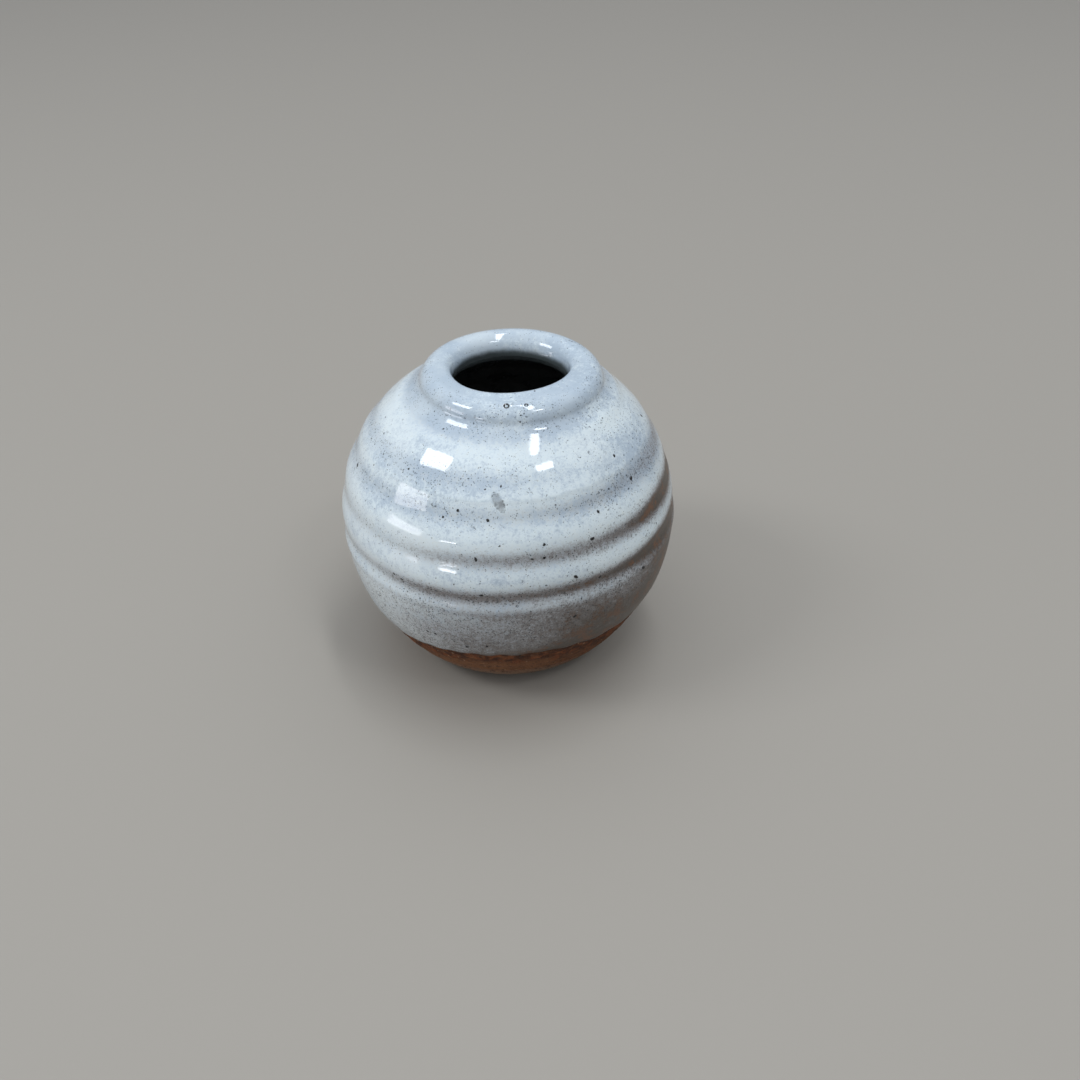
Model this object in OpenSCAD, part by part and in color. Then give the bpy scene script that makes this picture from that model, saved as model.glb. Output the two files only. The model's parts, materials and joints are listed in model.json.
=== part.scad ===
// Ceramic bud vase: a small wheel-thrown stoneware globe with a rolled lip, glazed inside and
// out and left bare round the foot.
// Millimetres, +Z up. The origin is the middle of the foot, on the surface that it stands on.

/* [Body] */
// Outside diameter at the widest point, over the glaze
belly_d = 66; // [62:1:72]
// Height of the widest point
belly_z = 29.3; // [28.5:0.1:30]
// Height of the whole vase
total_h = 60.3; // [59.9:0.1:60.9]
// How far below the widest point the lower half would close if it weren't cut off by the foot
low_half = 36.6; // [35:0.1:38]
// How far above the widest point the upper half would close if it had no neck
high_half = 32.2; // [32:0.1:32.6]
// Thickness of the clay wall at the widest point
wall_t = 4; // [3:0.5:5]
// Thickness of the clay floor in the middle
floor_t = 5.8; // [5:0.2:7]

/* [Foot] */
// Diameter of the flat ring that the vase stands on
foot_d = 33; // [31:0.5:34]
// Height of the rounding between the foot and the side
foot_edge_h = 1.6; // [1.2:0.1:2]
// Diameter of the shallow recess turned into the underside
recess_d = 21; // [18:0.5:24]
// Depth of that recess
recess_depth = 0.8; // [0.4:0.1:1.2]

/* [Lip] */
// Diameter of the opening
throat_d = 22; // [20:0.5:23]
// Outside diameter of the rolled lip
lip_d = 34.4; // [33.4:0.2:34.8]
// Radius of the roll on the outside of the lip
lip_roll_r = 3; // [2.6:0.1:3]
// Radius of the edge between the top of the lip and the opening
lip_edge_r = 1.4; // [1.2:0.1:2]
// Height where the straight throat ends and the inside starts to open out
throat_end_z = 56.4; // [56:0.1:56.6]
// Radius of the edge between the throat and the hollow
throat_edge_r = 1.6; // [1.2:0.1:2]

/* [Throwing grooves] */
// Number of grooves, counted from the lowest
groove_n = 4; // [0:1:4]
// Height of the lowest groove
groove_z = 30.8; // [29:0.1:32]
// Distance from the lowest groove to the next
groove_pitch = 8.2; // [7.8:0.1:8.4]
// How much smaller each distance is than the one below it
groove_closing = 1.8; // [1.6:0.1:2]
// Depth of the lowest and deepest groove
groove_depth = 0.6; // [0:0.1:0.8]
// Half the width of a groove, where it has lost most of its depth
groove_half_w = 1.3; // [1:0.1:1.6]

/* [Glaze] */
// Thickness of both coats of glaze
glaze_t = 0.6; // [0.5:0.05:0.7]
// Height of the lower edge of the outer coat
glaze_z = 12.5; // [11:0.5:17]
// Length over which that edge rounds down to the clay
glaze_edge_l = 1.2; // [0.8:0.1:1.6]

/* [Iron specks] */
// Number of large specks round the back and the sides
back_speck_n = 28; // [0:1:40]
// Diameter of the smallest of them
speck_d_min = 0.4; // [0.35:0.05:0.5]
// Diameter of the largest
speck_d_max = 0.7; // [0.6:0.05:0.7]

/* [Hidden] */
$fn = 96;

belly_r = belly_d / 2;
throat_r = throat_d / 2;
foot_r = foot_d / 2;
recess_r = recess_d / 2;
// The recess rounds up to its full depth over this width.
recess_edge_w = 1.6;

// The lower half of the hollow is squarer than an ellipse, so that the wall stays even down to
// the floor. This is its power: 2 is an ellipse.
hollow_power = 2.5;
hollow_r = belly_r - 2 * glaze_t - wall_t;
hollow_low = belly_z - floor_t - glaze_t;

// The roll of the lip is an arc about this centre, and the inner edge of the lip about the next.
roll_c = [lip_d / 2 - lip_roll_r, total_h - lip_roll_r];
lip_edge_c = [throat_r + lip_edge_r, total_h - lip_edge_r];
// The edge under the throat turns this far from the throat into the hollow.
under_c = [throat_r + throat_edge_r, throat_end_z];
under_turn = 63;
// The shoulder leaves its ellipse this far outside the lip, and curves up into the roll.
crease_w = 2.6;
// The roll ends this many degrees above its widest point.
roll_end_a = 10;

// Steps along each curve.
belly_steps = 72;
roll_steps = 14;
edge_steps = 6;
crease_steps = 5;
hollow_steps = 30;

// The large specks of the front, each as its turn from -Y towards +X, its height and its
// diameter. Most lie along a groove, where the glaze is thinnest.
front_specks = [
    [-44, 49.6, 0.5], [-4, 50.1, 0.4], [-10, 49.6, 0.4], [48, 50.6, 0.5],
    [-24, 44.6, 0.4], [-19, 46.1, 0.5], [-8, 45.1, 0.5], [32, 44.1, 0.5], [52, 46.1, 0.6],
    [-11, 38.6, 0.6], [7, 38.6, 0.4], [11, 38.6, 0.5], [11, 41.1, 0.5], [28, 40.1, 0.7],
    [-40, 31.1, 0.5], [-37, 30.6, 0.5], [-9, 31.6, 0.6], [21, 34.1, 0.7], [30, 32.1, 0.5],
    [21, 25.1, 0.6], [49, 29.1, 0.7],
    [-29, 19.6, 0.5], [-26, 19.6, 0.5], [-15, 17.6, 0.5], [-8, 18.6, 0.5]
];
// How far below the surface of the glaze the middle of a speck lies, in its own radii.
speck_sink = 0.6;
// The other specks lie between these turns and these heights.
back_turns = [70, 290];
back_heights = [glaze_z + 4, 53];
// The golden section spreads them evenly over the turns.
golden_section = 0.618034;
// Numbers that keep the specks' irregular height and size apart.
height_key = 2.3;
size_key = 7.7;

function lerp(a, b, f) = a + (b - a) * f;

// A point at an angle on a circle about a centre.
function on_circle(c, r, a) = c + r * [cos(a), sin(a)];

// Points along a curve that starts at one point, ends at another and is pulled to a third.
function pulled(a, pull, b, steps) = [
    for (i = [1 : steps - 1])
        let (f = i / steps)
        (1 - f) * (1 - f) * a + 2 * f * (1 - f) * pull + f * f * b
];

// Each groove: its height and its depth. They get closer and shallower towards the neck.
function groove_height(k) = groove_z + k * groove_pitch - groove_closing * k * (k - 1) / 2;
function groove_cut(k) = groove_depth * (1 - 0.25 * k);
function groove_dip(z, k = 0) =
    k >= groove_n ? 0
    : groove_cut(k) * exp(-pow((z - groove_height(k)) / groove_half_w, 2)) + groove_dip(z, k + 1);

// Radius of the outside at a height, in a layer t below the surface of the glaze.
function side_half(z, t) = (z < belly_z ? low_half : high_half) - t;
function side_r(z, t) =
    (belly_r - t) * sqrt(1 - pow((z - belly_z) / side_half(z, t), 2)) - groove_dip(z);

// Height on the shoulder where its plain ellipse has a given radius.
function shoulder_z(r, t) =
    belly_z + (high_half - t) * sqrt(1 - pow(r / (belly_r - t), 2));

// Angle that spreads the points of the side evenly along it, and its height.
function side_angle(z, t) = asin((z - belly_z) / side_half(z, t));
function side_z(a, t) = belly_z + (a < 0 ? low_half - t : high_half - t) * sin(a);

// The outside from one height to another, as points from low to high.
function side(z0, z1, t, steps) = [
    for (i = [0 : steps])
        let (z = side_z(lerp(side_angle(z0, t), side_angle(z1, t), i / steps), t))
        [side_r(z, t), z]
];

// The shoulder's end, the crease and the lip, over the top and down the straight throat.
function shoulder_end_r(t) = lip_d / 2 + crease_w - t / 3;
function shoulder_end_z(t) = shoulder_z(shoulder_end_r(t), t);
function roll_end(t) = on_circle(roll_c, lip_roll_r - t, roll_end_a);
function crease(t) = pulled(
    [shoulder_end_r(t), shoulder_end_z(t)],
    [roll_end(t)[0], shoulder_z(lip_d / 2 - t, t)],
    roll_end(t),
    crease_steps
);
function roll(t) = [
    for (i = [0 : roll_steps])
        on_circle(roll_c, lip_roll_r - t, lerp(roll_end_a, 90, i / roll_steps))
];
function lip_edge(t) = [
    for (i = [0 : edge_steps])
        on_circle(lip_edge_c, lip_edge_r - t, lerp(90, 180, i / edge_steps))
];
function throat_end(t) = [throat_r + t, throat_end_z];
function lip(t) = concat(crease(t), roll(t), lip_edge(t), [throat_end(t)]);

// The edge under the throat, then the hollow down to the middle of the floor.
function under_edge(t) = [
    for (i = [0 : edge_steps])
        on_circle(under_c, throat_edge_r - t, lerp(180, 180 + under_turn, i / edge_steps))
];
function hollow_start(t) = under_edge(t)[edge_steps];
function hollow_high(t) =
    (hollow_start(t)[1] - belly_z) / sqrt(1 - pow(hollow_start(t)[0] / (hollow_r + t), 2));
function hollow_top(t) = [
    for (i = [1 : hollow_steps])
        let (a = lerp(acos(hollow_start(t)[0] / (hollow_r + t)), 0, i / hollow_steps))
        [(hollow_r + t) * cos(a), belly_z + hollow_high(t) * sin(a)]
];
function hollow_bottom(t) = [
    for (i = [1 : hollow_steps])
        let (a = 90 * i / hollow_steps)
        [
            i == hollow_steps ? 0 : (hollow_r + t) * pow(cos(a), 2 / hollow_power),
            belly_z - (hollow_low + t) * pow(sin(a), 2 / hollow_power)
        ]
];
function hollow(t) = concat(under_edge(t), hollow_top(t), hollow_bottom(t));

// The foot: recess, standing ring and the rounding up to the side.
function foot() = concat(
    [[0, recess_depth], [recess_r - recess_edge_w, recess_depth]],
    pulled(
        [recess_r - recess_edge_w, recess_depth], [recess_r, recess_depth], [recess_r, 0], edge_steps
    ),
    [[recess_r, 0], [foot_r, 0]],
    pulled(
        [foot_r, 0], [foot_r + foot_edge_h, 0],
        [side_r(foot_edge_h, glaze_t), foot_edge_h], edge_steps
    )
);

// The glaze's lower edge thickens from nothing, as a quarter round.
function edge_layer(z) =
    z >= glaze_z + glaze_edge_l ? 0
    : glaze_t * (1 - sqrt(1 - pow(1 - (z - glaze_z) / glaze_edge_l, 2)));
function glaze_edge() = [
    for (i = [1 : edge_steps - 1])
        let (z = glaze_z + glaze_edge_l * (1 - cos(90 * i / edge_steps)))
        [side_r(z, edge_layer(z)), z]
];

function backwards(points) = [for (i = [len(points) - 1 : -1 : 0]) points[i]];
function all_but_first(points) = [for (i = [1 : len(points) - 1]) points[i]];

// Each other speck's turn, height and diameter. The wander is a fixed irregular number from 0
// to 1, and its square makes most specks small.
function wander(i, key) = (sin(i * key * 57.3 + key * 31) + 1) / 2;
function fraction(x) = x - floor(x);
back_specks = [
    for (i = [1 : back_speck_n])
        [
            lerp(back_turns[0], back_turns[1], fraction(i * golden_section)),
            lerp(back_heights[0], back_heights[1], (i - wander(i, height_key)) / back_speck_n),
            lerp(speck_d_min, speck_d_max, pow(wander(i, size_key), 2))
        ]
];

// The outward slope of the side at a height, as a unit vector of radius and height.
function side_normal(z) =
    let (n = [(z - belly_z) / pow(side_half(z, 0), 2), side_r(z, 0) / pow(belly_r, 2)])
    [n[1], n[0]] / norm(n);

// Each speck's own X axis points straight into the glaze.
module specks() {
    for (speck = concat(front_specks, back_specks)) {
        z = speck[1];
        r = speck[2] / 2;
        out = side_normal(z);
        place = [side_r(z, 0), z] - speck_sink * r * out;
        lean = atan2(out[1], out[0]);
        rotate(speck[0] - 90) translate([place[0], 0, place[1]]) rotate([0, -lean, 0]) rotate(180)
            sphere(r = r, $fn = 24);
    }
}

// The fired stoneware: foot, wall, shoulder, neck and floor, thrown as one piece.
module clay_body() {
    color("sienna") rotate_extrude() polygon(concat(
        foot(),
        side(foot_edge_h, glaze_z, glaze_t, round(belly_steps / 4)),
        all_but_first(side(glaze_z, shoulder_end_z(glaze_t), glaze_t, belly_steps)),
        lip(glaze_t),
        all_but_first(hollow(glaze_t))
    ));
}

// The outer coat of glaze: belly, shoulder and lip, over the lip and down the throat.
module outer_glaze() {
    color("aliceblue") difference() {
        rotate_extrude() polygon(concat(
            [[side_r(glaze_z, glaze_t), glaze_z]],
            glaze_edge(),
            side(glaze_z + glaze_edge_l, shoulder_end_z(0), 0, belly_steps),
            lip(0),
            backwards(lip(glaze_t)),
            backwards(all_but_first(side(glaze_z, shoulder_end_z(glaze_t), glaze_t, belly_steps)))
        ));
        specks();
    }
}

// The inner coat of glaze, poured in and out: the hollow from the throat down to the floor.
module liner_glaze() {
    color("darkslategray") rotate_extrude() polygon(concat(
        hollow(0),
        backwards(hollow(glaze_t))
    ));
}

// Grains of iron that melted through the glaze, each in its own pocket.
module iron_specks() {
    color("saddlebrown") specks();
}

clay_body();
outer_glaze();
liner_glaze();
iron_specks();
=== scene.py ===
"""Looks of the ceramic bud vase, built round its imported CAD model. +Z up, the front is -Y.

Shapes are worked out in millimetres and become metres when their meshes are made.
"""

import json
import math

import bpy
import numpy as np
from mathutils import Matrix, Quaternion, Vector, noise


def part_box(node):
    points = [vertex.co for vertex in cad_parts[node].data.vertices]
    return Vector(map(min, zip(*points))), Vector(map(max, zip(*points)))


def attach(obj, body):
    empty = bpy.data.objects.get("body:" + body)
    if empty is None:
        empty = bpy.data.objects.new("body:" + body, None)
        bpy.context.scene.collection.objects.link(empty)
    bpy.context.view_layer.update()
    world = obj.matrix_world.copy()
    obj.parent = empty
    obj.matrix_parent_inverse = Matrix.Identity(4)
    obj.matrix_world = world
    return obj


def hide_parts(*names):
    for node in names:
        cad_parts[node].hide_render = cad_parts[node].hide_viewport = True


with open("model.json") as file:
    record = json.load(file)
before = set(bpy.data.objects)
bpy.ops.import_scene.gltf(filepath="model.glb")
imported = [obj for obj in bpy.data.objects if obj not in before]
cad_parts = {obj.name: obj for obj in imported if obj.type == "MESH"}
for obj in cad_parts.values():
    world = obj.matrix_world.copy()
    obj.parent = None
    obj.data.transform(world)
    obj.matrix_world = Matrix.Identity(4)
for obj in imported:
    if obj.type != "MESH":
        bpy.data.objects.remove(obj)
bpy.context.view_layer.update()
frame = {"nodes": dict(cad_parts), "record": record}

MM = 0.001
BODY = "root"


# ---------------------------------------------------------------- sizes, from the frame and the CAD

def node_box(node):
    """A CAD node's lowest and highest corners, in millimetres."""
    low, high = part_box(node)
    return np.array(low) / MM, np.array(high) / MM


glaze_low, glaze_high = node_box("outer_glaze")
liner_low, liner_high = node_box("liner_glaze")
throat = next(m for m in frame["record"]["mounts"] if m["name"] == "throat")

BELLY_R = round(glaze_high[0], 1)
TOP_Z = glaze_high[2]
GLAZE_T = 0.6
GLAZE_Z = glaze_low[2]
THROAT_R = throat["dims"]["r_mm"]
THROAT_END_Z = liner_high[2]
HOLLOW_R = liner_high[0] - GLAZE_T
FLOOR_Z = liner_low[2] + GLAZE_T

# The same curves as the CAD: where the belly is widest, and how far each half of it reaches.
BELLY_Z = 29.3
LOW_HALF = 36.6
HIGH_HALF = 32.2
LIP_R = 17.2
ROLL_R = 3.0
LIP_EDGE_R = 1.4
CREASE_W = 2.6
ROLL_END = 10
UNDER_R = 1.6
UNDER_TURN = 63
FOOT_R = 16.5
FOOT_EDGE_H = 1.6
RECESS_R = 10.5
RECESS_DEPTH = 0.8
RECESS_EDGE_W = 1.6
HOLLOW_POWER = 2.5

# The lip's inner edge at the back, where it is rounder than the CAD's LIP_EDGE_R.
BACK_EDGE_R = 3.0

# The glaze's relief and scar follow the plain side only between these heights, and the profile
# that the coat is cut from starts below its lowest edge.
RELIEF_LOW_Z, RELIEF_HIGH_Z = 3, 57
COAT_START_Z = 8
# Up to this height the clay has rows close enough to show its sand.
SANDY_END_Z = 19.0

# The throwing groove is one helix that climbs as it turns from -Y towards +X. Its height at
# each whole turn is counted from the front of its lowest turn.
GROOVE_COUNTS = [-2, -1, 0, 1, 2, 3, 4, 5]
GROOVE_HEIGHTS = [15.6, 23.2, 30.6, 37.9, 45.2, 50.2, 54.8, 59.0]
GROOVE_HALF_W = 2.1
# Depth of the groove at turns counted from the front of its lowest turn.
GROOVE_TURNS = [-0.55, -0.3, -0.12, 0.15, 0.5, 0.9, 1.2, 1.5, 1.85, 2.15, 2.5, 2.9, 3.03, 3.12]
GROOVE_DEPTHS = [0.0, 0.25, 0.68, 0.66, 0.5, 0.46, 0.55, 0.5, 0.5, 0.44, 0.30, 0.09, 0.06, 0.0]
# How much thinner the glaze lies on the groove's overhanging side, at the same turns, with painted
# shade.
GROOVE_THIN_AND_SHADE = [0.0, 0.4, 0.95, 0.92, 0.6, 0.46, 0.64, 0.54, 0.26, 0.26, 0.25, 0.25, 0.15, 0.0]
# The rib thrown up under the lowest turn.
RIB_DROP = 2.3
RIB_HALF_W = 1.1
RIB_H = 0.22


# ---------------------------------------------------------------- curves and small maths

def smooth(x, low, high):
    """0 below low, 1 above high, and a smooth step between; low may be the greater."""
    f = np.clip((x - low) / (high - low), 0, 1)
    return f * f * (3 - 2 * f)


def bump(x, centre, half_w):
    return np.exp(-((x - centre) / half_w) ** 2)


def arc(centre, r, start, end, n):
    a = np.radians(np.linspace(start, end, n))
    return np.stack([centre[0] + r * np.cos(a), centre[1] + r * np.sin(a)], -1)


def pulled(a, pull, b, n):
    """A curve from a to b that is pulled to a third point."""
    f = np.linspace(0, 1, n)[:, None]
    return (1 - f) ** 2 * np.array(a) + 2 * f * (1 - f) * np.array(pull) + f ** 2 * np.array(b)


def joined(*curves):
    """The curves end to end, with repeated points left out."""
    points = np.concatenate([np.atleast_2d(c) for c in curves])
    step = np.hypot(*np.diff(points, axis=0).T)
    return points[np.concatenate([[True], step > 1e-6])]


def lengths(points):
    return np.concatenate([[0], np.cumsum(np.hypot(*np.diff(points, axis=0).T))])


class Path:
    """A profile of radius and height that can be read at any distance along it."""

    def __init__(self, points):
        self.points = points
        self.at = lengths(points)
        self.length = self.at[-1]
        along = np.gradient(points, self.at, axis=0)
        along /= np.linalg.norm(along, axis=1)[:, None]
        self.normals = np.stack([along[:, 1], -along[:, 0]], -1)

    def read(self, s):
        return [np.interp(s, self.at, c) for c in (*self.points.T, *self.normals.T)]

    def where(self, z, last):
        """The distance along the path's first part, up to distance last, where it has height z."""
        part = self.at <= last
        return np.interp(z, self.points[part, 1], self.at[part])


def waves(theta, z, seed, turns, wavelength, count=14):
    """A smooth irregular field round the vase, about -1 to 1."""
    random = np.random.default_rng(seed)
    total = np.zeros(np.broadcast(theta, z).shape)
    for _ in range(count):
        round_vase = random.integers(0, turns + 1)
        up_vase = 2 * np.pi / wavelength * random.uniform(-1, 1)
        total += np.sin(round_vase * theta + up_vase * z + random.uniform(0, 2 * np.pi))
    return total / math.sqrt(count)


# ---------------------------------------------------------------- the vase's profiles

def side_half(z, t):
    return np.where(z < BELLY_Z, LOW_HALF, HIGH_HALF) - t


def side_r(z, t):
    """Radius of the plain outside, in a layer t below the surface of the glaze."""
    return (BELLY_R - t) * np.sqrt(1 - ((z - BELLY_Z) / side_half(z, t)) ** 2)


def side(z0, z1, t, n=160):
    a = np.linspace(*(math.asin((z - BELLY_Z) / side_half(z, t)) for z in (z0, z1)), n)
    z = BELLY_Z + np.where(a < 0, LOW_HALF - t, HIGH_HALF - t) * np.sin(a)
    return np.stack([side_r(z, t), z], -1)


def shoulder_z(r, t):
    return BELLY_Z + (HIGH_HALF - t) * math.sqrt(1 - (r / (BELLY_R - t)) ** 2)


def shoulder_end(t):
    r = LIP_R + CREASE_W - t / 3
    return [r, shoulder_z(r, t)]


def lip(t, edge_r=LIP_EDGE_R):
    """The crease, the roll, the crown and the inner edge, down to the throat's end."""
    roll_c = [LIP_R - ROLL_R, TOP_Z - ROLL_R]
    edge_c = [THROAT_R + edge_r, TOP_Z - edge_r]
    roll = arc(roll_c, ROLL_R - t, ROLL_END, 90, 40)
    crease = pulled(shoulder_end(t), [roll[0][0], shoulder_z(LIP_R - t, t)], roll[0], 20)
    edge = arc(edge_c, edge_r - t, 90, 180, 24)
    return joined(crease, roll, edge, [THROAT_R + t, THROAT_END_Z])


def hollow(t):
    """The edge under the throat, then the hollow down to the middle of the floor."""
    under = arc([THROAT_R + UNDER_R, THROAT_END_Z], UNDER_R - t, 180, 180 + UNDER_TURN, 16)
    start_r, start_z = under[-1]
    r = HOLLOW_R + t
    high = (start_z - BELLY_Z) / math.sqrt(1 - (start_r / r) ** 2)
    a = np.linspace(math.acos(start_r / r), 0, 60)
    top = np.stack([r * np.cos(a), BELLY_Z + high * np.sin(a)], -1)
    b = np.linspace(0, np.pi / 2, 80)
    power = 2 / HOLLOW_POWER
    low = BELLY_Z - FLOOR_Z + t
    bottom = np.stack([r * np.cos(b).clip(0) ** power, BELLY_Z - low * np.sin(b) ** power], -1)
    return joined(under, top, bottom)


def foot():
    """From near the middle of the underside out to the side."""
    inner = RECESS_R - RECESS_EDGE_W
    side_start = [float(side_r(FOOT_EDGE_H, GLAZE_T)), FOOT_EDGE_H]
    return joined(
        np.stack([np.linspace(0, inner, 12), np.full(12, RECESS_DEPTH)], -1),
        pulled([inner, RECESS_DEPTH], [RECESS_R, RECESS_DEPTH], [RECESS_R, 0], 10),
        [[RECESS_R, 0], [FOOT_R, 0]],
        pulled([FOOT_R, 0], [FOOT_R + FOOT_EDGE_H, 0], side_start, 12),
    )


# ---------------------------------------------------------------- relief made on the wheel

def groove_at(theta, z):
    """The nearest turn of the groove: its number, and how far above it the point is."""
    part = theta / (2 * np.pi)
    number = np.round(np.interp(z, GROOVE_HEIGHTS, GROOVE_COUNTS) - part)
    turn = number + part
    turn_z = np.interp(turn, GROOVE_COUNTS, GROOVE_HEIGHTS)
    wander = 0.25 * waves(theta, turn * 3.0, 5, 5, 9.0)
    return turn, z - turn_z - wander


def groove_depth(turn):
    return np.interp(turn, GROOVE_TURNS, GROOVE_DEPTHS)


def relief(theta, z):
    """How far the outside stands out from its plain profile, in millimetres."""
    turn, above = groove_at(theta, z)
    beside = smooth(np.abs(theta), 0.8, 1.3) * smooth(np.abs(theta), 2.4, 1.7)
    depth = groove_depth(turn) * (1 - (0.42 + 0.22 * np.sin(theta)) * beside)
    half_w = GROOVE_HALF_W * (1 - 0.42 * smooth(turn, 2.3, 2.8))
    cut = depth * np.exp(-np.abs(above / half_w) ** 1.7)
    lowest = smooth(turn, -0.5, -0.1) * smooth(turn, 0.75, 0.3)
    rib = RIB_H * lowest * bump(above, -RIB_DROP, RIB_HALF_W)
    crown = 0.1 * smooth(z, 26, 34) * smooth(z, 55, 48)
    fullness = 0.3 * np.cos(theta + math.radians(80)) * bump(z, 44, 12)
    hand = 0.06 * waves(theta, z, 11, 3, 25.0)
    return crown + rib - cut + fullness + hand


def coat_relief(theta, z):
    """The relief of the glaze, held steady beyond the ends of the plain side."""
    return relief(theta, z.clip(RELIEF_LOW_Z, RELIEF_HIGH_Z))


def drift(z):
    """How far the middle of the vase strays from the axis at a height: the neck leans."""
    f = smooth(z, 30, 59)
    return 0.6 * f, 0.1 * f


def lip_relief(theta, r, z):
    """The lip's own unevenness: its outer side lies towards +X, and its opening towards +Y."""
    outer = 0.25 * np.sin(theta) * smooth(r, 13.5, 16.5)
    opening = 0.12 + 0.36 * np.cos(theta) - 0.25 * np.cos(2 * (theta - math.radians(135)))
    inner = opening * smooth(r, 14.2, 11.8) * smooth(z, THROAT_END_Z, THROAT_END_Z + 2)
    return outer + inner + 0.06 * waves(theta, r, 21, 4, 15.0)


def glaze_edge_z(theta):
    """Height of the glaze's lower edge round the vase."""
    climb = 1.6 * np.sin(theta + 0.1) + 1.6 * np.cos(2 * theta - 0.1) + 0.8 * np.cos(theta)
    return GLAZE_Z - 0.2 + climb + 0.22 * waves(theta, 0.0, 31, 40, 9.0, 24)


# ---------------------------------------------------------------- meshes from rings

def placed(theta, r, z):
    """Points of a ring or of a grid, in millimetres, round the leaning middle."""
    x, y = drift(z)
    return np.stack([r * np.sin(theta) + x, -r * np.cos(theta) + y, z + 0 * theta], -1)


SHARP_DEG = 50


def ring_mesh(name, grid, poles, values):
    """One closed mesh from a grid of rings: a ring-shaped shell, or closed at two poles."""
    rings, columns = grid.shape[:2]
    points = grid.reshape(-1, 3)
    i = np.arange(rings - 1 if poles else rings)[:, None]
    j = np.arange(columns)[None, :]
    k, m = (i + 1) % rings, (j + 1) % columns
    quads = np.stack([i * columns + j, i * columns + m, k * columns + m, k * columns + j], -1)
    faces = quads.reshape(-1, 4).tolist()
    if poles:
        first, last = len(points), len(points) + 1
        points = np.concatenate([points, np.array(poles)])
        end = (rings - 1) * columns
        for a in range(columns):
            b = (a + 1) % columns
            faces.append([first, b, a])
            faces.append([last, end + a, end + b])
    mesh = bpy.data.meshes.new(name)
    mesh.from_pydata((points * MM).tolist(), [], faces)
    mesh.update()
    mesh.shade_smooth()
    mesh.set_sharp_from_angle(angle=math.radians(SHARP_DEG))
    for key, grid_values in values.items():
        flat = np.zeros(len(points), np.float32)
        flat[: rings * columns] = np.broadcast_to(grid_values, (rings, columns)).ravel()
        mesh.attributes.new(key, "FLOAT", "POINT").data.foreach_set("value", flat)
    piece = bpy.data.objects.new(name, mesh)
    bpy.context.scene.collection.objects.link(piece)
    return piece


def turns(columns):
    return np.linspace(-np.pi, np.pi, columns, endpoint=False)[None, :]


def perlin(points, scale, seed):
    """Fine grain at each point of a grid in millimetres, about -1 to 1."""
    shift = Vector((seed * 7.3, seed * 3.1, seed * 5.7))
    flat = points.reshape(-1, 3) * scale
    found = [noise.noise(Vector(p) + shift) for p in flat]
    return np.array(found).reshape(points.shape[:-1])


# ---------------------------------------------------------------- marks in the glaze

# A burst bubble on the lip with a smaller one beside it, and a kiln scar on the shoulder.
# Each pit is its turn on the lip in degrees, its angle round the roll, and its radius.
LIP_PITS = [(-3, 68, 0.5), (10, 68, 0.32)]
SCAR_TURN, SCAR_Z = -4.6, 47.7
SCAR_W, SCAR_H, SCAR_LEAN = 1.0, 1.35, 0.55


def pit_point(turn, rise, _size):
    a, e = math.radians(turn), math.radians(rise)
    r, z = LIP_R - ROLL_R + ROLL_R * math.cos(e), TOP_Z - ROLL_R + ROLL_R * math.sin(e)
    return placed(np.array(a), np.array(r), np.array(z))


def scar_value(theta, z):
    """1 in the middle of a leaning oval on the shoulder, and 0 well outside it."""
    across = (theta - math.radians(SCAR_TURN)) * side_r(z.clip(RELIEF_LOW_Z, RELIEF_HIGH_Z), 0)
    up = z - SCAR_Z
    across, up = across + SCAR_LEAN * up, up / SCAR_H
    return np.exp(-((across / SCAR_W) ** 2 + up ** 2) ** 2)


# ---------------------------------------------------------------- the pieces

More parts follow.
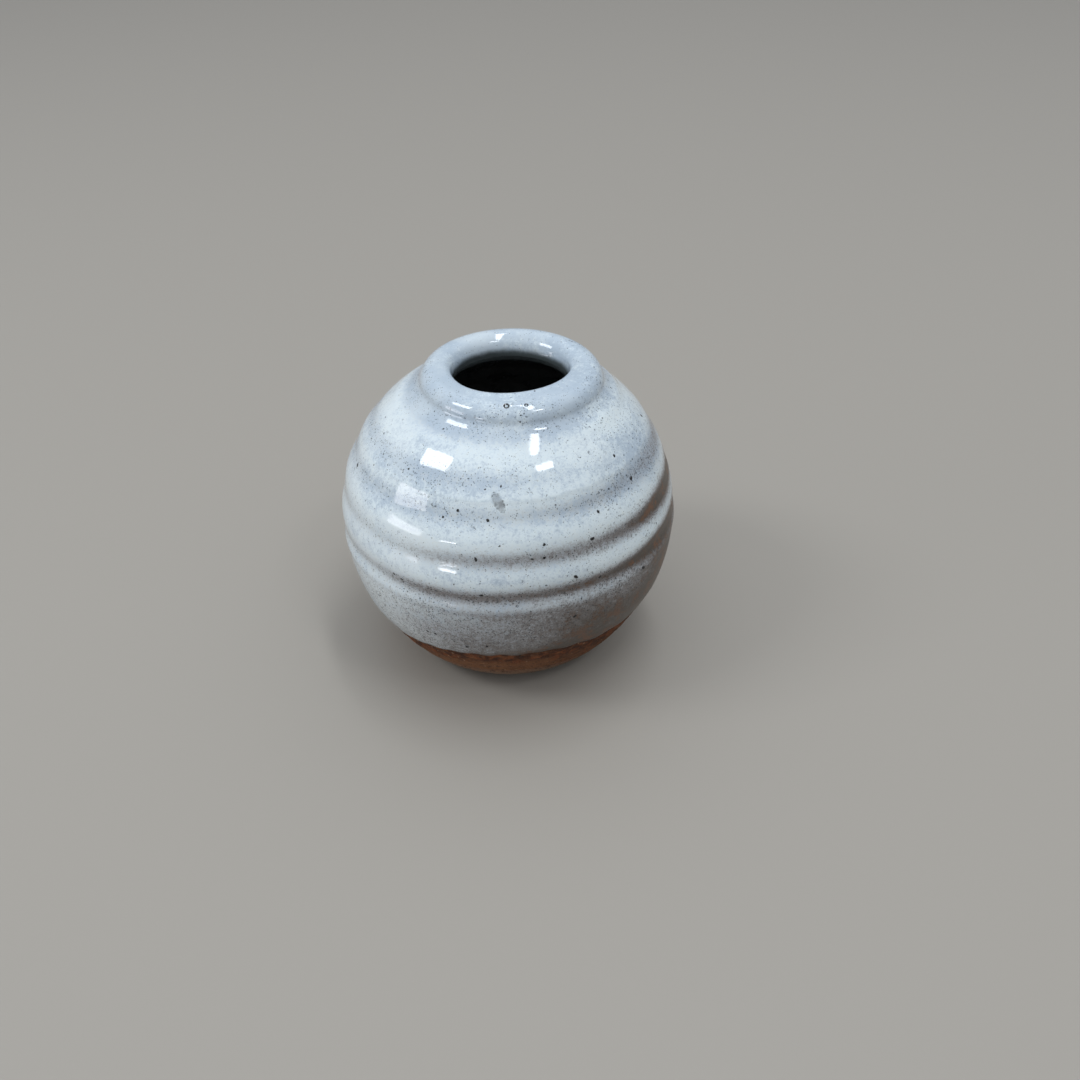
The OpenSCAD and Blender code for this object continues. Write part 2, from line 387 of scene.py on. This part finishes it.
def glaze_tones(theta, r, z, nr, past_side, from_edge):
    """How thin, milky, speckled and deep in the throat the coat is at each point, and where shade is
    painted.

    past_side is the distance beyond the end of the plain side, up over the lip, and from_edge is
    the distance above the coat's lower edge.
    """
    on_side = past_side <= 0
    turn, above = groove_at(theta, z)
    right = smooth(theta, 0.0, 1.1) * smooth(theta, 2.2, 1.4)
    left = smooth(theta, -0.3, -0.9) * smooth(theta, -2.6, -1.6)
    before_back = smooth(theta, -2.9, -2.1)
    far_right = smooth(theta, 0.7, 1.3) * smooth(theta, 2.8, 1.8)
    lower_right = smooth(theta, 0.1, 0.6) * smooth(theta, 2.0, 1.2)
    lower_left = smooth(theta, 0.0, -0.5) * before_back
    left_neck = smooth(theta, 0.8, 0.2) * before_back
    upper_left = smooth(theta, -0.2, -0.8) * before_back
    above_edge = np.maximum(from_edge, 0)

    # The dark band on the groove's overhanging side: partly thin glaze, partly painted shade where it
    # faces down.
    overhang = np.interp(turn, GROOVE_TURNS, GROOVE_THIN_AND_SHADE) * bump(above, 0.4, 1.9) * on_side
    # The upper turns of the groove, where shade is painted into the glaze.
    upper = smooth(turn, 1.5, 1.8) * smooth(turn, 3.12, 2.95) * bump(above, 0.2, 1.8) * on_side
    # Below the lowest groove the glaze is greyer: partly thin glaze, partly painted shade towards the
    # underside.
    lowest_groove = GROOVE_HEIGHTS[2] + 1.4 * np.sin(theta)
    low = smooth(z, lowest_groove - 0.6, lowest_groove - 3.6)
    pool = bump(theta, 1.0, 0.32) * bump(z, 55.8, 2.8) * (r > LIP_R - 1)

    # The painted shade in the groove bands is heavier on the right side and lighter on the left.
    thin_and_shade = 0.9 * overhang * (1 + 0.9 * right - 0.45 * left)
    # Darker low on the far right: partly thin glaze, partly painted shade on the side away from the
    # light.
    thin_and_shade += 0.3 * far_right * smooth(z, 50, 40) * on_side
    thin_and_shade += (0.6 - 0.5 * lower_left) * np.exp(-above_edge / 1.0) * on_side
    # Browner towards the glaze's edge on the right: partly thin glaze, partly a painted brown
    # reflection.
    thin_and_shade += 0.5 * lower_right * np.exp(-above_edge / 5.0) * on_side
    thin_and_shade += (0.74 + 0.2 * lower_right - 0.2 * lower_left - 0.26 * left) * low * on_side
    thin_and_shade *= 1 + 0.18 * waves(theta, z, 71, 7, 9.0)
    thin_and_shade += 0.16 * bump(past_side, -0.4, 2.6) * left_neck
    thin_and_shade *= 1 - 0.7 * pool

    # Milkiness of the glaze, less where shade is painted into the upper groove turns, more so on the
    # right.
    milk_and_shade = 0.7 + 0.14 * smooth(z, 30, 44) + 0.2 * waves(theta, z, 41, 4, 25.0)
    milk_and_shade -= 0.8 * smooth(past_side, -1.5, 1.5)
    milk_and_shade -= 0.25 * bump(past_side, 2.0, 2.5) * left_neck
    milk_and_shade += 0.2 * bump(above, 3.7, 2.4) * on_side
    milk_and_shade -= upper * (0.4 + 0.6 * right + 0.25 * upper_left)
    milk_and_shade += 0.75 * pool
    milk_and_shade -= 0.6 * bump(theta, 1.05, 0.4) * bump(z, 50.0, 2.6) * on_side
    milk_and_shade -= 0.35 * bump(theta, 0.0, 0.5) * bump(z, 51.5, 3.5) * on_side

    crowd = 0.45 * smooth(past_side, -1, 2) * smooth(nr, 0.0, 0.3)
    crowd += 0.7 * low + 0.4 * right * on_side + 0.9 * overhang + 0.35 * upper
    # Darker down the inner side of the throat: partly the dark glaze inside, partly painted shade.
    deep = smooth(z, 59.0, THROAT_END_Z) * smooth(nr, 0.0, -0.5)
    return {"crowd": crowd, "thin_and_shade": thin_and_shade, "milk_and_shade": milk_and_shade, "deep": deep}


def outer_glaze_piece():
    """The coat of glaze outside: its own lower edge, the grooves, the lip and the throat."""
    theta = turns(480)
    plain = side(COAT_START_Z, shoulder_end(0)[1], 0)
    plain_back = side(COAT_START_Z, shoulder_end(GLAZE_T)[1], GLAZE_T)
    face = Path(joined(plain, lip(0)))
    round_lip = Path(joined(plain, lip(0, BACK_EDGE_R)))
    back = Path(joined(plain_back, lip(GLAZE_T, BACK_EDGE_R)))
    side_end = Path(plain).length
    side_rows, lip_rows, back_rows = 126, 62, 12

    edge_z = glaze_edge_z(theta)
    start = face.where(edge_z, side_end)
    v = np.linspace(0, 1, side_rows)[:, None] ** 1.05
    lip_s = np.linspace(side_end, face.length, lip_rows + 1)[1:, None] + 0 * theta
    s = np.concatenate([start + (side_end - start) * v, lip_s])
    shorter = (round_lip.length - side_end) / (face.length - side_end)
    round_s = np.where(s > side_end, side_end + (s - side_end) * shorter, s)
    behind = smooth(-np.cos(theta), -0.5, 0.8)
    r, z, nr, nz = [
        a + (b - a) * behind for a, b in zip(face.read(s), round_lip.read(round_s))
    ]
    on_side = s <= side_end
    from_edge = s - start
    rounded_edge = np.sqrt(smooth(from_edge, -0.05, 0.8))
    coat = GLAZE_T * (0.35 + 0.65 * smooth(from_edge, 0, 6)) * rounded_edge
    at_neck = smooth(s, side_end - 2.5, side_end + 0.5)
    out = coat_relief(theta, z) * (1 - at_neck) + lip_relief(theta, r, z) * at_neck
    out -= GLAZE_T - coat
    scar = scar_value(theta, z) * on_side
    out += (0.07 * bump(scar, 0.2, 0.15) * smooth(scar, 0.02, 0.1) - 0.16 * scar) * on_side
    front = placed(theta, r + out * nr, z + out * nz)
    outward = np.stack([nr * np.sin(theta), -nr * np.cos(theta), nz], -1)
    for pit in LIP_PITS:
        away = np.linalg.norm(front - pit_point(*pit), axis=-1) / pit[2]
        dent = 0.16 * np.exp(-away ** 2 * 1.6) - 0.05 * bump(away, 1.25, 0.3)
        front = front - dent[..., None] * outward

    t = np.linspace(1, 0, back_rows)[:, None]
    back_s = back.length * t + back.where(edge_z + 0.01, back.length * 0.7) * (1 - t)
    br, bz, bnr, bnz = back.read(back_s)
    inward = coat_relief(theta, bz) * smooth(t, 0.1, 0) - 0.02 - 0.7 * smooth(t, 0, 0.1)
    rear = placed(theta, br + inward * bnr, bz + inward * bnz)

    values = glaze_tones(theta, r, z, nr, s - side_end, from_edge)
    values["scar"] = scar
    hidden = np.ones((back_rows, theta.size))
    values = {
        key: np.concatenate([value + 0 * s, hidden * (key != "scar")])
        for key, value in values.items()
    }
    return ring_mesh("outer_glaze_coat", np.concatenate([front, rear]), None, values)


def clay_piece():
    """The stoneware: bare and sandy at the foot, and smooth where glaze covers it."""
    theta = turns(400)
    under = Path(foot())
    outside = Path(side(FOOT_EDGE_H, shoulder_end(GLAZE_T)[1], GLAZE_T))
    bare_end = outside.where(SANDY_END_Z, outside.length)
    covered = Path(joined(lip(GLAZE_T, BACK_EDGE_R)))
    inside = Path(hollow(GLAZE_T))

    # Each stretch of the profile: its path, where its rows start and end along it, and their number.
    parts = []
    for path, first, last, rows in (
        (under, 0.6, under.length, 44),
        (outside, 0.3, bare_end, 46),
        (outside, bare_end + 1.2, outside.length, 34),
        (covered, 0.3, covered.length - 0.2, 14),
        (inside, 0.0, inside.length - 0.6, 24),
    ):
        parts.append(np.stack(path.read(np.linspace(first, last, rows)), -1))
    r, z, nr, nz = np.concatenate(parts)[:, None, :].transpose(2, 0, 1) + 0 * theta
    count = [len(p) for p in parts]
    is_outside = np.repeat([False, True, True, False, False], count)[:, None]
    is_under = np.repeat([True, False, False, False, False], count)[:, None]

    edge = glaze_edge_z(theta)
    bare = smooth(z, edge + 0.1, edge - 0.5) * (is_outside | is_under)
    plain = placed(theta, r, z)
    grain = np.zeros(r.shape)
    seen = np.repeat([True, True, False, False, False], count)
    grain[seen] = 0.10 * perlin(plain[seen], 1.3, 1) + 0.07 * perlin(plain[seen], 2.9, 2)
    rings = 0.05 * np.sin(z * 2.6 + 0.8 * waves(theta, z, 51, 3, 8.0))
    out = (grain + rings * is_outside) * bare
    out += np.where(is_outside, relief(theta, z) - 0.05 * (1 - bare), 0)
    out = np.where(is_under & (z < 0.05), -np.abs(out), out)
    points = placed(theta, r + out * nr, np.maximum(z + out * nz, 0))
    poles = [[0, 0, RECESS_DEPTH], [*drift(FLOOR_Z), FLOOR_Z - GLAZE_T]]
    below = edge - z
    flash_and_shade = bump(below, 0.6, 1.5) + 0.6 * smooth(below, 6, 1)
    # Painted shade: the clay is darker on the right side.
    flash_and_shade += 0.4 * smooth(theta, 0.1, 0.5) * smooth(theta, 1.8, 1.2)
    values = {"flash_and_shade": flash_and_shade * is_outside, "near_foot": smooth(z, 10.0, 3.0) * (is_outside | is_under)}
    return ring_mesh("fired_clay", points, poles, values)


def liner_piece():
    """The coat of glaze in the hollow, from the throat's end to the floor."""
    theta = turns(240)
    face, back = Path(hollow(0)), Path(hollow(GLAZE_T))
    rear = np.stack(back.read(np.linspace(back.length - 0.6, 0, 16)), -1)
    front = np.stack(face.read(np.linspace(0, face.length - 0.6, 90)), -1)
    r, z, nr, nz = np.concatenate([rear, front])[:, None, :].transpose(2, 0, 1) + 0 * theta
    facing = np.repeat([False, True], [len(rear), len(front)])[:, None]
    rings = 0.16 * np.sin(z * 1.05 + theta) + 0.05 * waves(theta, z, 61, 6, 9.0)
    rings *= smooth(z, 54, 50) * smooth(r, 2, 8)
    out = np.where(facing, rings, 0)
    points = placed(theta, r + out * nr, z + out * nz)
    poles = [[*drift(FLOOR_Z), FLOOR_Z - GLAZE_T], [*drift(FLOOR_Z), FLOOR_Z]]
    return ring_mesh("liner_glaze_coat", points, poles, {"deep": smooth(z, 56.8, 50.0)})


def surface_point(theta, z):
    """A point on the outside of the glaze and its outward direction, in millimetres."""
    def at(a, h):
        h = np.array(h)
        return placed(np.array(a), side_r(h, 0) + relief(np.array(a), h), h)
    step = 0.05
    here = at(theta, z)
    sideways = at(theta + step / BELLY_R, z) - here
    upward = at(theta, z + step) - here
    out = np.cross(sideways, upward)
    return here, out / np.linalg.norm(out)


def speck_places():
    """Each iron speck of the CAD as its turn, height and radius, in its own order."""
    mesh = frame["nodes"]["iron_specks"].data
    points = np.array([v.co for v in mesh.vertices]) / MM
    found = []
    left = np.ones(len(points), bool)
    reach = 0.9
    while left.any():
        seed = points[np.argmax(left)]
        near = left & (np.linalg.norm(points - seed, axis=1) < reach)
        group = points[near]
        left &= ~near
        middle = (group.min(0) + group.max(0)) / 2
        radius = (group.max(0) - group.min(0)).max() / 2
        found.append((math.atan2(middle[0], -middle[1]), middle[2], radius))
    return sorted(found, key=lambda f: (round(f[1], 2), round(f[0], 2)))


def specks_piece():
    """Melted grains of iron: low, irregular beads seated in the glaze."""
    random = np.random.default_rng(7)
    around, rows = 14, 6
    flatness, spread = 0.3, 1.12
    points, faces = [], []
    for theta, z, radius in speck_places():
        here, out = surface_point(theta, z)
        sideways = np.cross([0, 0, 1], out)
        sideways /= np.linalg.norm(sideways)
        upward = np.cross(out, sideways)
        spin = random.uniform(0, 2 * np.pi)
        stretch = random.uniform(1.0, 1.35)
        lobes = random.uniform(-0.13, 0.13, 4)
        base = len(points)
        points.append(here + out * flatness * radius)
        for k in range(1, rows):
            lift = math.cos(np.pi * k / rows)
            wide = math.sin(np.pi * k / rows) ** 0.8
            for a in np.linspace(0, 2 * np.pi, around, endpoint=False):
                edge = 1 + sum(c * math.sin((n + 2) * a + n) for n, c in enumerate(lobes))
                long = radius * spread * wide * edge * math.cos(a) * stretch
                short = radius * spread * wide * edge * math.sin(a) / stretch
                u = long * math.cos(spin) - short * math.sin(spin)
                w = long * math.sin(spin) + short * math.cos(spin)
                points.append(here + sideways * u + upward * w + out * radius * flatness * lift)
        points.append(here - out * flatness * radius)
        last = len(points) - 1
        for a in range(around):
            b = (a + 1) % around
            faces.append([base, base + 1 + a, base + 1 + b])
            for k in range(rows - 2):
                low, high = base + 1 + k * around, base + 1 + (k + 1) * around
                faces.append([low + a, high + a, high + b, low + b])
            end = base + 1 + (rows - 2) * around
            faces.append([end + a, last, end + b])
    mesh = bpy.data.meshes.new("iron_grains")
    mesh.from_pydata((np.array(points) * MM).tolist(), [], faces)
    mesh.update()
    mesh.shade_smooth()
    piece = bpy.data.objects.new("iron_grains", mesh)
    bpy.context.scene.collection.objects.link(piece)
    return piece


# ---------------------------------------------------------------- materials

class Shader:
    """A material's nodes, made and joined by short calls. Lengths are in metres."""

    def __init__(self, name):
        self.material = bpy.data.materials.new(name)
        self.material.use_nodes = True
        self.tree = self.material.node_tree
        self.surface = self.tree.nodes["Principled BSDF"]
        self.place = self.tree.nodes.new("ShaderNodeTexCoord").outputs["Object"]
        self.ragged = self.warped(2400, 0.0005)

    def put(self, value, socket):
        if isinstance(value, bpy.types.NodeSocket):
            self.tree.links.new(value, socket)
        elif isinstance(value, tuple) and len(value) == 3 and len(socket.default_value) == 4:
            socket.default_value = (*value, 1)
        else:
            socket.default_value = value

    def attribute(self, name):
        node = self.tree.nodes.new("ShaderNodeAttribute")
        node.attribute_name = name
        return node.outputs["Fac"]

    def noise(self, scale, detail=3.0, roughness=0.5):
        node = self.tree.nodes.new("ShaderNodeTexNoise")
        self.put(self.place, node.inputs["Vector"])
        node.inputs["Scale"].default_value = scale
        node.inputs["Detail"].default_value = detail
        node.inputs["Roughness"].default_value = roughness
        return node.outputs["Fac"]

    def warped(self, scale, amount):
        """The place, shifted about by a noise, so that round grains come out ragged."""
        node = self.tree.nodes.new("ShaderNodeTexNoise")
        self.put(self.place, node.inputs["Vector"])
        node.inputs["Scale"].default_value = scale
        shift = self.tree.nodes.new("ShaderNodeVectorMath")
        shift.operation = "MULTIPLY_ADD"
        self.put(node.outputs["Color"], shift.inputs[0])
        shift.inputs[1].default_value = (amount, amount, amount)
        self.put(self.place, shift.inputs[2])
        return shift.outputs[0]

    def cells(self, scale):
        """Distance to the nearest grain, in cells, and that grain's own random number."""
        node = self.tree.nodes.new("ShaderNodeTexVoronoi")
        self.put(self.ragged, node.inputs["Vector"])
        node.inputs["Scale"].default_value = scale
        own = self.tree.nodes.new("ShaderNodeSeparateColor")
        self.put(node.outputs["Color"], own.inputs[0])
        return node.outputs["Distance"], own.outputs[0]

    def math(self, operation, *values):
        node = self.tree.nodes.new("ShaderNodeMath")
        node.operation = operation
        for socket, value in zip(node.inputs, values):
            self.put(value, socket)
        return node.outputs[0]

    def vary(self, value, field, amount):
        """The value, moved up and down by a field that runs from 0 to 1."""
        return self.math("ADD", value, self.math("MULTIPLY_ADD", field, amount, -amount / 2))

    def span(self, value, low, high, to_low=0.0, to_high=1.0):
        """The value's place between low and high, smoothed, as a number in the second range."""
        node = self.tree.nodes.new("ShaderNodeMapRange")
        node.interpolation_type = "SMOOTHSTEP"
        for socket, number in zip(node.inputs, (value, low, high, to_low, to_high)):
            self.put(number, socket)
        return node.outputs[0]

    def mix(self, share, a, b):
        node = self.tree.nodes.new("ShaderNodeMix")
        node.data_type = "RGBA"
        self.put(share, node.inputs["Factor"])
        self.put(a, node.inputs[6])
        self.put(b, node.inputs[7])
        return node.outputs[2]

    def bump(self, height, distance, strength=1.0, under=None):
        node = self.tree.nodes.new("ShaderNodeBump")
        node.inputs["Strength"].default_value = strength
        node.inputs["Distance"].default_value = distance
        self.put(height, node.inputs["Height"])
        if under:
            self.put(under, node.inputs["Normal"])
        return node.outputs[0]

    def near(self, point, radius):
        """Distance from a point, as a share of a radius."""
        node = self.tree.nodes.new("ShaderNodeVectorMath")
        node.operation = "DISTANCE"
        self.put(self.place, node.inputs[0])
        node.inputs[1].default_value = tuple(float(c) for c in point)
        return self.math("DIVIDE", node.outputs["Value"], radius)

    def dots(self, scale, size, share, soft=0.08):
        """Round grains in a share of the cells: 1 inside a grain and 0 outside."""
        away, own = self.cells(scale)
        chosen = self.math("LESS_THAN", own, share)
        grown = self.math("MULTIPLY_ADD", own, size, size * 0.55)
        inside = self.span(self.math("SUBTRACT", grown, away), -soft, soft)
        return self.math("MULTIPLY", inside, chosen)

    def finish(self, **inputs):
        for name, value in inputs.items():
            self.put(value, self.surface.inputs[name.replace("_", " ")])
        return self.material


# Colours of the outer glaze: where it covers well, where it pools, where it is clearer, then
# thinner and thinner over the clay, and last down the throat and in its specks of iron.
MILK = (0.69, 0.77, 0.80)
CREAM = (0.72, 0.78, 0.79)
POOLED = (0.80, 0.86, 0.85)
LAVENDER = (0.42, 0.50, 0.58)
# SMOKE and the two rust colours also stand for painted shade where the thin mask carries it.
SMOKE = (0.215, 0.203, 0.203)
RUST_THIN = (0.072, 0.054, 0.040)
RUST_RED = (0.14, 0.060, 0.024)
# THROAT_DARK: partly the dark glaze inside, partly painted shade down the throat.
THROAT_DARK = (0.070, 0.082, 0.083)
IRON = (0.014, 0.018, 0.023)


def glaze_material():
    """Pale blue-white glaze, grey and brown where thin and in painted shade, full of iron specks."""
    m = Shader("glaze_outer")
    broad, middle, small = m.noise(70, 3), m.noise(330, 4, 0.6), m.noise(1000, 3, 0.6)
    fine = m.noise(2600, 3, 0.7)
    # Milkiness, less where shade is painted into the upper groove turns.
    milk_and_shade = m.vary(m.vary(m.vary(m.attribute("milk_and_shade"), middle, 1.4), small, 1.6), fine, 2.0)
    colour = m.mix(m.span(milk_and_shade, -0.1, 1.1), LAVENDER, MILK)
    colour = m.mix(m.span(broad, 0.45, 0.65, 0.0, 0.4), colour, CREAM)
    colour = m.mix(m.span(milk_and_shade, 1.1, 1.8, 0.0, 0.9), colour, POOLED)

    # Thin glaze and painted shade together turn the coat grey and brown.
    thin_and_shade = m.vary(m.vary(m.vary(m.attribute("thin_and_shade"), small, 0.5), middle, 0.3), fine, 0.8)
    colour = m.mix(m.span(thin_and_shade, 0.05, 0.9), colour, SMOKE)
    colour = m.mix(m.span(thin_and_shade, 0.62, 1.2), colour, RUST_THIN)
    mottled = m.span(m.vary(middle, small, 0.5), 0.46, 0.62)
    colour = m.mix(m.math("MULTIPLY", m.span(thin_and_shade, 0.8, 1.35), mottled), colour, RUST_RED)

    crowd = m.vary(m.math("ADD", m.attribute("crowd"), 0.16), m.noise(160, 2), 1.0)
    dust = m.math("MULTIPLY", m.dots(2700, 0.25, crowd, 0.07), 0.72)
    grains = m.math("MULTIPLY", m.dots(1350, 0.21, m.math("MULTIPLY", crowd, 0.5), 0.05), 0.85)
    large = m.math("MULTIPLY", m.dots(620, 0.16, 0.16, 0.03), 0.9)
    flecks = m.span(m.noise(1250, 3, 0.8), m.span(crowd, 0.0, 1.0, 0.65, 0.56), 0.70, 0.0, 0.65)
    for specks in (dust, flecks, grains, large):
        colour = m.mix(specks, colour, IRON)
    # Darker down the throat: partly dark glaze, partly painted shade.
    deep = m.vary(m.vary(m.attribute("deep"), middle, 0.3), small, 0.3)
    colour = m.mix(m.span(deep, 0.15, 0.95), colour, THROAT_DARK)

    scar = m.vary(m.attribute("scar"), fine, 0.35)
    streaks = m.span(small, 0.35, 0.65, 0.35, 0.75)
    colour = m.mix(m.math("MULTIPLY", m.span(scar, 0.3, 0.7), streaks), colour, (0.15, 0.16, 0.17))
    rim = m.math("MULTIPLY", m.span(scar, 0.2, 0.4), m.span(scar, 0.75, 0.5))
    colour = m.mix(m.math("MULTIPLY", rim, m.span(small, 0.45, 0.6, 0.0, 0.75)), colour, IRON)
    for pit in LIP_PITS:
        away = m.near(pit_point(*pit) * MM, pit[2] * MM)
        ring = m.math("MULTIPLY", m.span(away, 0.35, 0.7), m.span(away, 0.95, 1.35, 1, 0))
        colour = m.mix(ring, colour, (0.006, 0.007, 0.008))

    roughness = m.span(m.math("ADD", thin_and_shade, m.math("MULTIPLY", scar, 0.8)), 0.2, 1.2, 0.06, 0.36)
    normal = m.bump(m.noise(300, 2), 0.00002, 0.4)
    normal = m.bump(m.math("MULTIPLY", small, m.span(thin_and_shade, 0.2, 0.9, 0.15, 1.0)), 0.00006, 0.5, normal)
    return m.finish(Base_Color=colour, Roughness=roughness, Normal=normal, IOR=1.58)


def liner_material():
    """Dark iron glaze inside, under a pale edge down the throat that fades partly as painted shade."""
    m = Shader("glaze_inner")
    cloud, fine = m.noise(240, 4, 0.6), m.noise(1300, 3)
    colour = m.mix(m.span(cloud, 0.3, 0.7), (0.045, 0.046, 0.048), (0.10, 0.10, 0.094))
    # Pale at the throat's end and dark further down: partly painted shade.
    deep = m.vary(m.vary(m.attribute("deep"), cloud, 0.7), fine, 0.5)
    pale = m.mix(m.span(deep, -0.1, 0.5), THROAT_DARK, (0.13, 0.15, 0.15))
    colour = m.mix(m.span(deep, 0.2, 0.8), pale, colour)
    colour = m.mix(m.math("MULTIPLY", m.dots(1300, 0.22, 0.3), 0.4), colour, (0.05, 0.035, 0.025))
    roughness = m.span(cloud, 0.3, 0.7, 0.22, 0.42)
    return m.finish(Base_Color=colour, Roughness=roughness, Normal=m.bump(fine, 0.00006, 0.6))


def clay_material():
    """Bare stoneware: red-brown by the glaze, sandier and paler towards the foot."""
    m = Shader("clay")
    broad, sand, fine = m.noise(90, 3), m.noise(900, 4, 0.65), m.noise(2600, 2)
    # Dark flashing by the glaze's edge, with painted shade on the right.
    flash_and_shade = m.vary(m.vary(m.attribute("flash_and_shade"), broad, 0.7), sand, 0.6)
    colour = m.mix(m.span(flash_and_shade, 0.0, 1.0), (0.19, 0.083, 0.037), (0.060, 0.020, 0.009))
    reddened = m.math("MULTIPLY", m.span(flash_and_shade, 0.1, 0.7), m.span(m.noise(420, 3, 0.6), 0.45, 0.6))
    colour = m.mix(reddened, colour, (0.17, 0.052, 0.018))
    # The clay grows paler and sandier towards the foot.
    near_foot = m.vary(m.vary(m.attribute("near_foot"), broad, 0.6), sand, 0.8)
    colour = m.mix(m.span(near_foot, 0.2, 1.0, 0.0, 0.8), colour, (0.23, 0.165, 0.12))
    colour = m.mix(m.span(sand, 0.45, 0.7, 0.0, 0.5), colour, (0.24, 0.12, 0.06))
    colour = m.mix(m.span(sand, 0.5, 0.3, 0.0, 0.75), colour, (0.040, 0.018, 0.010))
    pale_grains = m.math("MULTIPLY", m.dots(1000, 0.28, 0.3, 0.07), 0.65)
    colour = m.mix(pale_grains, colour, (0.38, 0.25, 0.16))
    dark_grains = m.math("MULTIPLY", m.dots(1200, 0.28, 0.5, 0.05), 0.85)
    colour = m.mix(dark_grains, colour, (0.016, 0.010, 0.008))
    normal = m.bump(sand, 0.0004, 0.8)
    normal = m.bump(fine, 0.00015, 0.6, normal)
    roughness = m.span(sand, 0.3, 0.7, 0.72, 0.92)
    return m.finish(Base_Color=colour, Roughness=roughness, Normal=normal, Specular_IOR_Level=0.25)


def iron_material():
    """Melted iron: almost black, with brown where it is thin."""
    m = Shader("iron")
    cloud = m.noise(2500, 2)
    colour = m.mix(m.span(cloud, 0.4, 0.7), (0.010, 0.010, 0.011), (0.028, 0.025, 0.023))
    roughness = m.span(cloud, 0.3, 0.7, 0.2, 0.4)
    return m.finish(Base_Color=colour, Roughness=roughness)


# ---------------------------------------------------------------- stage, light and camera

def floor_piece():
    mesh = bpy.data.meshes.new("floor")
    half = 3.0
    mesh.from_pydata([(-half, -half, 0), (half, -half, 0), (half, half, 0), (-half, half, 0)],
                     [], [(0, 1, 2, 3)])
    floor = bpy.data.objects.new("floor", mesh)
    bpy.context.scene.collection.objects.link(floor)
    material = bpy.data.materials.new("floor")
    material.use_nodes = True
    surface = material.node_tree.nodes["Principled BSDF"]
    surface.inputs["Base Color"].default_value = (0.33, 0.305, 0.27, 1)
    surface.inputs["Roughness"].default_value = 0.6
    mesh.materials.append(material)


def area_light(name, place, size, radiance, colour, spin=0, faces_down=False, half_spread=90):
    """A soft rectangular light that faces the vase or straight down, turned about its own axis.

    A half spread under 90 degrees is a grid in front of it, which spares the floor nearby.
    """
    middle = Vector((0, 0, BELLY_Z * MM))
    data = bpy.data.lights.new(name, "AREA")
    data.shape = "RECTANGLE"
    data.size, data.size_y = size
    data.energy = radiance * math.pi * size[0] * size[1]
    if half_spread < 90:
        reach = math.radians(half_spread)
        data.spread = 2 * reach
        data.energy *= 1 - reach / math.tan(reach)
    data.color = colour
    light = bpy.data.objects.new(name, data)
    light.location = place
    light.rotation_mode = "QUATERNION"
    facing = Quaternion() if faces_down else (light.location - middle).to_track_quat("Z", "Y")
    light.rotation_quaternion = facing @ Quaternion((0, 0, 1), math.radians(spin))
    light.visible_camera = False
    bpy.context.scene.collection.objects.link(light)


def around(turn, height, distance):
    """A place at a turn from -Y towards +X and an elevation, in degrees, as seen by the vase."""
    a, e = math.radians(turn), math.radians(height)
    x, y, z = math.sin(a) * math.cos(e), -math.cos(a) * math.cos(e), math.sin(e)
    return [distance * x, distance * y, distance * z + BELLY_Z * MM]


# Half the spread of a light with a grid in front of it, in degrees.
GRIDDED = 50


def light_the_stage():
    world = bpy.data.worlds.new("room")
    world.use_nodes = True
    nodes, links = world.node_tree.nodes, world.node_tree.links
    direction = nodes.new("ShaderNodeSeparateXYZ")
    links.new(nodes.new("ShaderNodeTexCoord").outputs["Generated"], direction.inputs[0])
    strength = nodes.new("ShaderNodeMapRange")
    for socket, number in zip(strength.inputs[1:5], (0, 0.8, 0.32, 0.50)):
        socket.default_value = number
    links.new(direction.outputs["Z"], strength.inputs[0])
    room = nodes["Background"]
    room.inputs["Color"].default_value = (0.88, 0.93, 1.0, 1)
    links.new(strength.outputs[0], room.inputs["Strength"])
    bpy.context.scene.world = world
    cool, pale = (0.92, 0.96, 1.0), (0.95, 0.95, 1.0)
    area_light("ceiling", (0.3, 0.1, 1.3), (3.0, 3.0), 0.48, cool, faces_down=True)
    area_light("skylight", around(-77.2, 44.2, 0.9), (0.32, 0.20), 10, cool, 30)
    area_light("window", around(-71, 1, 0.9), (0.42, 0.40), 4.2, pale, half_spread=GRIDDED)
    area_light("sill", around(-38, 1.5, 0.9), (0.17, 0.05), 12, pale, half_spread=GRIDDED)
    area_light("tube", (0.175, -0.02, 1.03), (0.10, 0.70), 12, cool, 17, True)
    area_light("tube_end", (0.46, -0.54, 1.03), (0.24, 0.13), 13, cool, 30, True)


def camera():
    """The camera stands in front, about 22 cm away and above, and looks a little to the right."""
    lens, sensor = 36.1, 36.0
    place_mm = (0, -180.2, 153.2)
    yaw, pitch, roll = 0.0353, math.radians(36.5), 0.008
    level_reach = math.cos(pitch)
    ahead = Vector((math.sin(yaw) * level_reach, math.cos(yaw) * level_reach, -math.sin(pitch)))
    right = Vector((math.cos(yaw), -math.sin(yaw), 0))
    up = right.cross(ahead)
    level = right.copy()
    right = level * math.cos(roll) + up * math.sin(roll)
    up = up * math.cos(roll) - level * math.sin(roll)
    data = bpy.data.cameras.new("camera")
    data.lens, data.sensor_width = lens, sensor
    data.clip_start = 0.01
    eye = bpy.data.objects.new("camera", data)
    place = Matrix((right, up, -ahead)).transposed().to_4x4()
    place.translation = Vector(place_mm) * MM
    eye.matrix_world = place
    bpy.context.scene.collection.objects.link(eye)
    bpy.context.scene.camera = eye


# ---------------------------------------------------------------- the scene

def dress(piece, material, node):
    """Gives a piece its material, hangs it on the body and hides the CAD node it stands for."""
    piece.data.materials.append(material)
    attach(piece, BODY)
    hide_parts(node)


camera()
floor_piece()
light_the_stage()
dress(clay_piece(), clay_material(), "clay_body")
dress(outer_glaze_piece(), glaze_material(), "outer_glaze")
dress(liner_piece(), liner_material(), "liner_glaze")
dress(specks_piece(), iron_material(), "iron_specks")
bpy.context.scene.view_settings.view_transform = "Standard"
